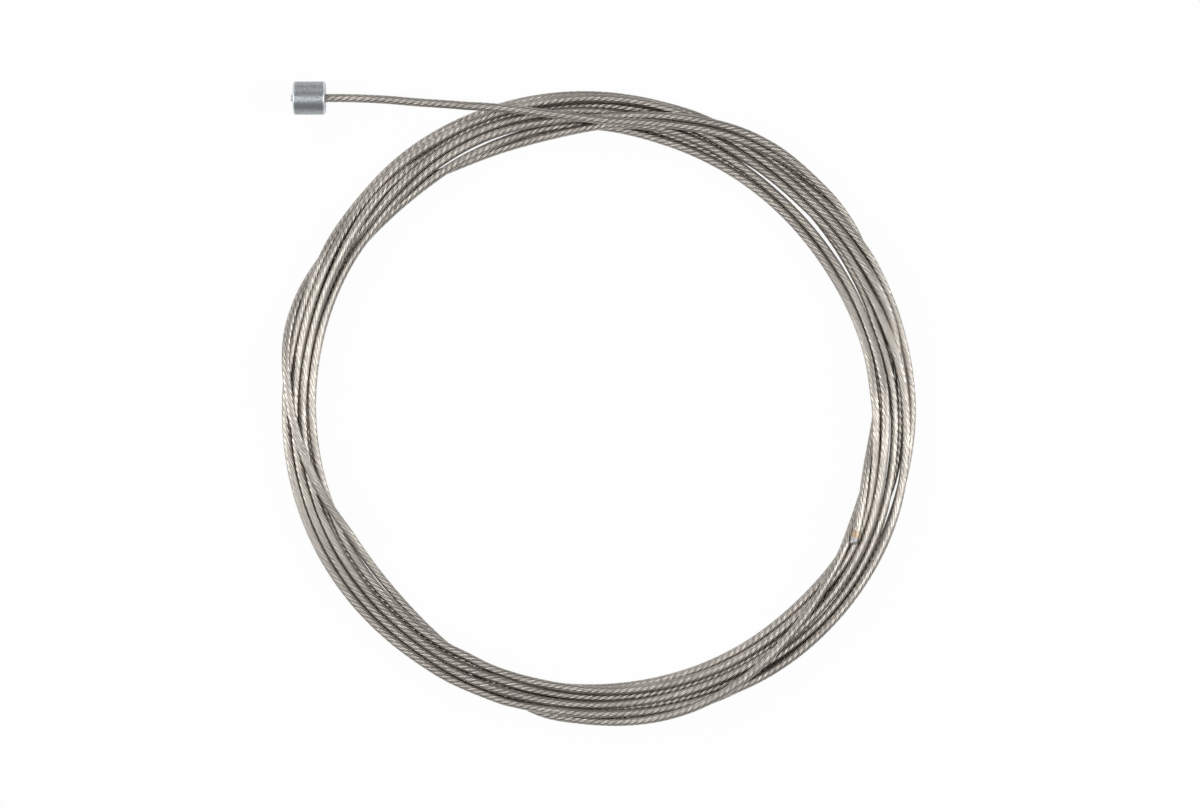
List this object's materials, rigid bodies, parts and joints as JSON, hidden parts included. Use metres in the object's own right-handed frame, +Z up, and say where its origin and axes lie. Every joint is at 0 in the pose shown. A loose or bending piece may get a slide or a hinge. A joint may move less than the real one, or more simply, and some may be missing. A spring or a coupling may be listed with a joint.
{
  "type": "shift cable",
  "caption": "Stranded steel shift cable with a die-cast barrel head, wound into a flat round coil with its lead lying across the turns.",
  "frame": {"origin": "centre of the base of the whole coiled cable, on the surface that it lies on", "axes": "+Z up, away from that surface; +X along the lead, from the head towards the coil; +Y from the coil's centre towards the side where the head lies"},
  "size_m": [0.0834, 0.0848, 0.0044],
  "materials": {
    "strand": "bare drawn steel wires, warm grey, satin",
    "head_zinc": "die-cast zinc, cool grey, dull",
    "fused_tip": "melted wire end with bronze heat tint"
  },
  "bodies": {
    "root": {"cable_head": "head_zinc", "cable_lead": "strand", "cable_coil": "strand", "cable_tail": "strand", "cable_tip": "fused_tip"}
  },
  "joints": []
}
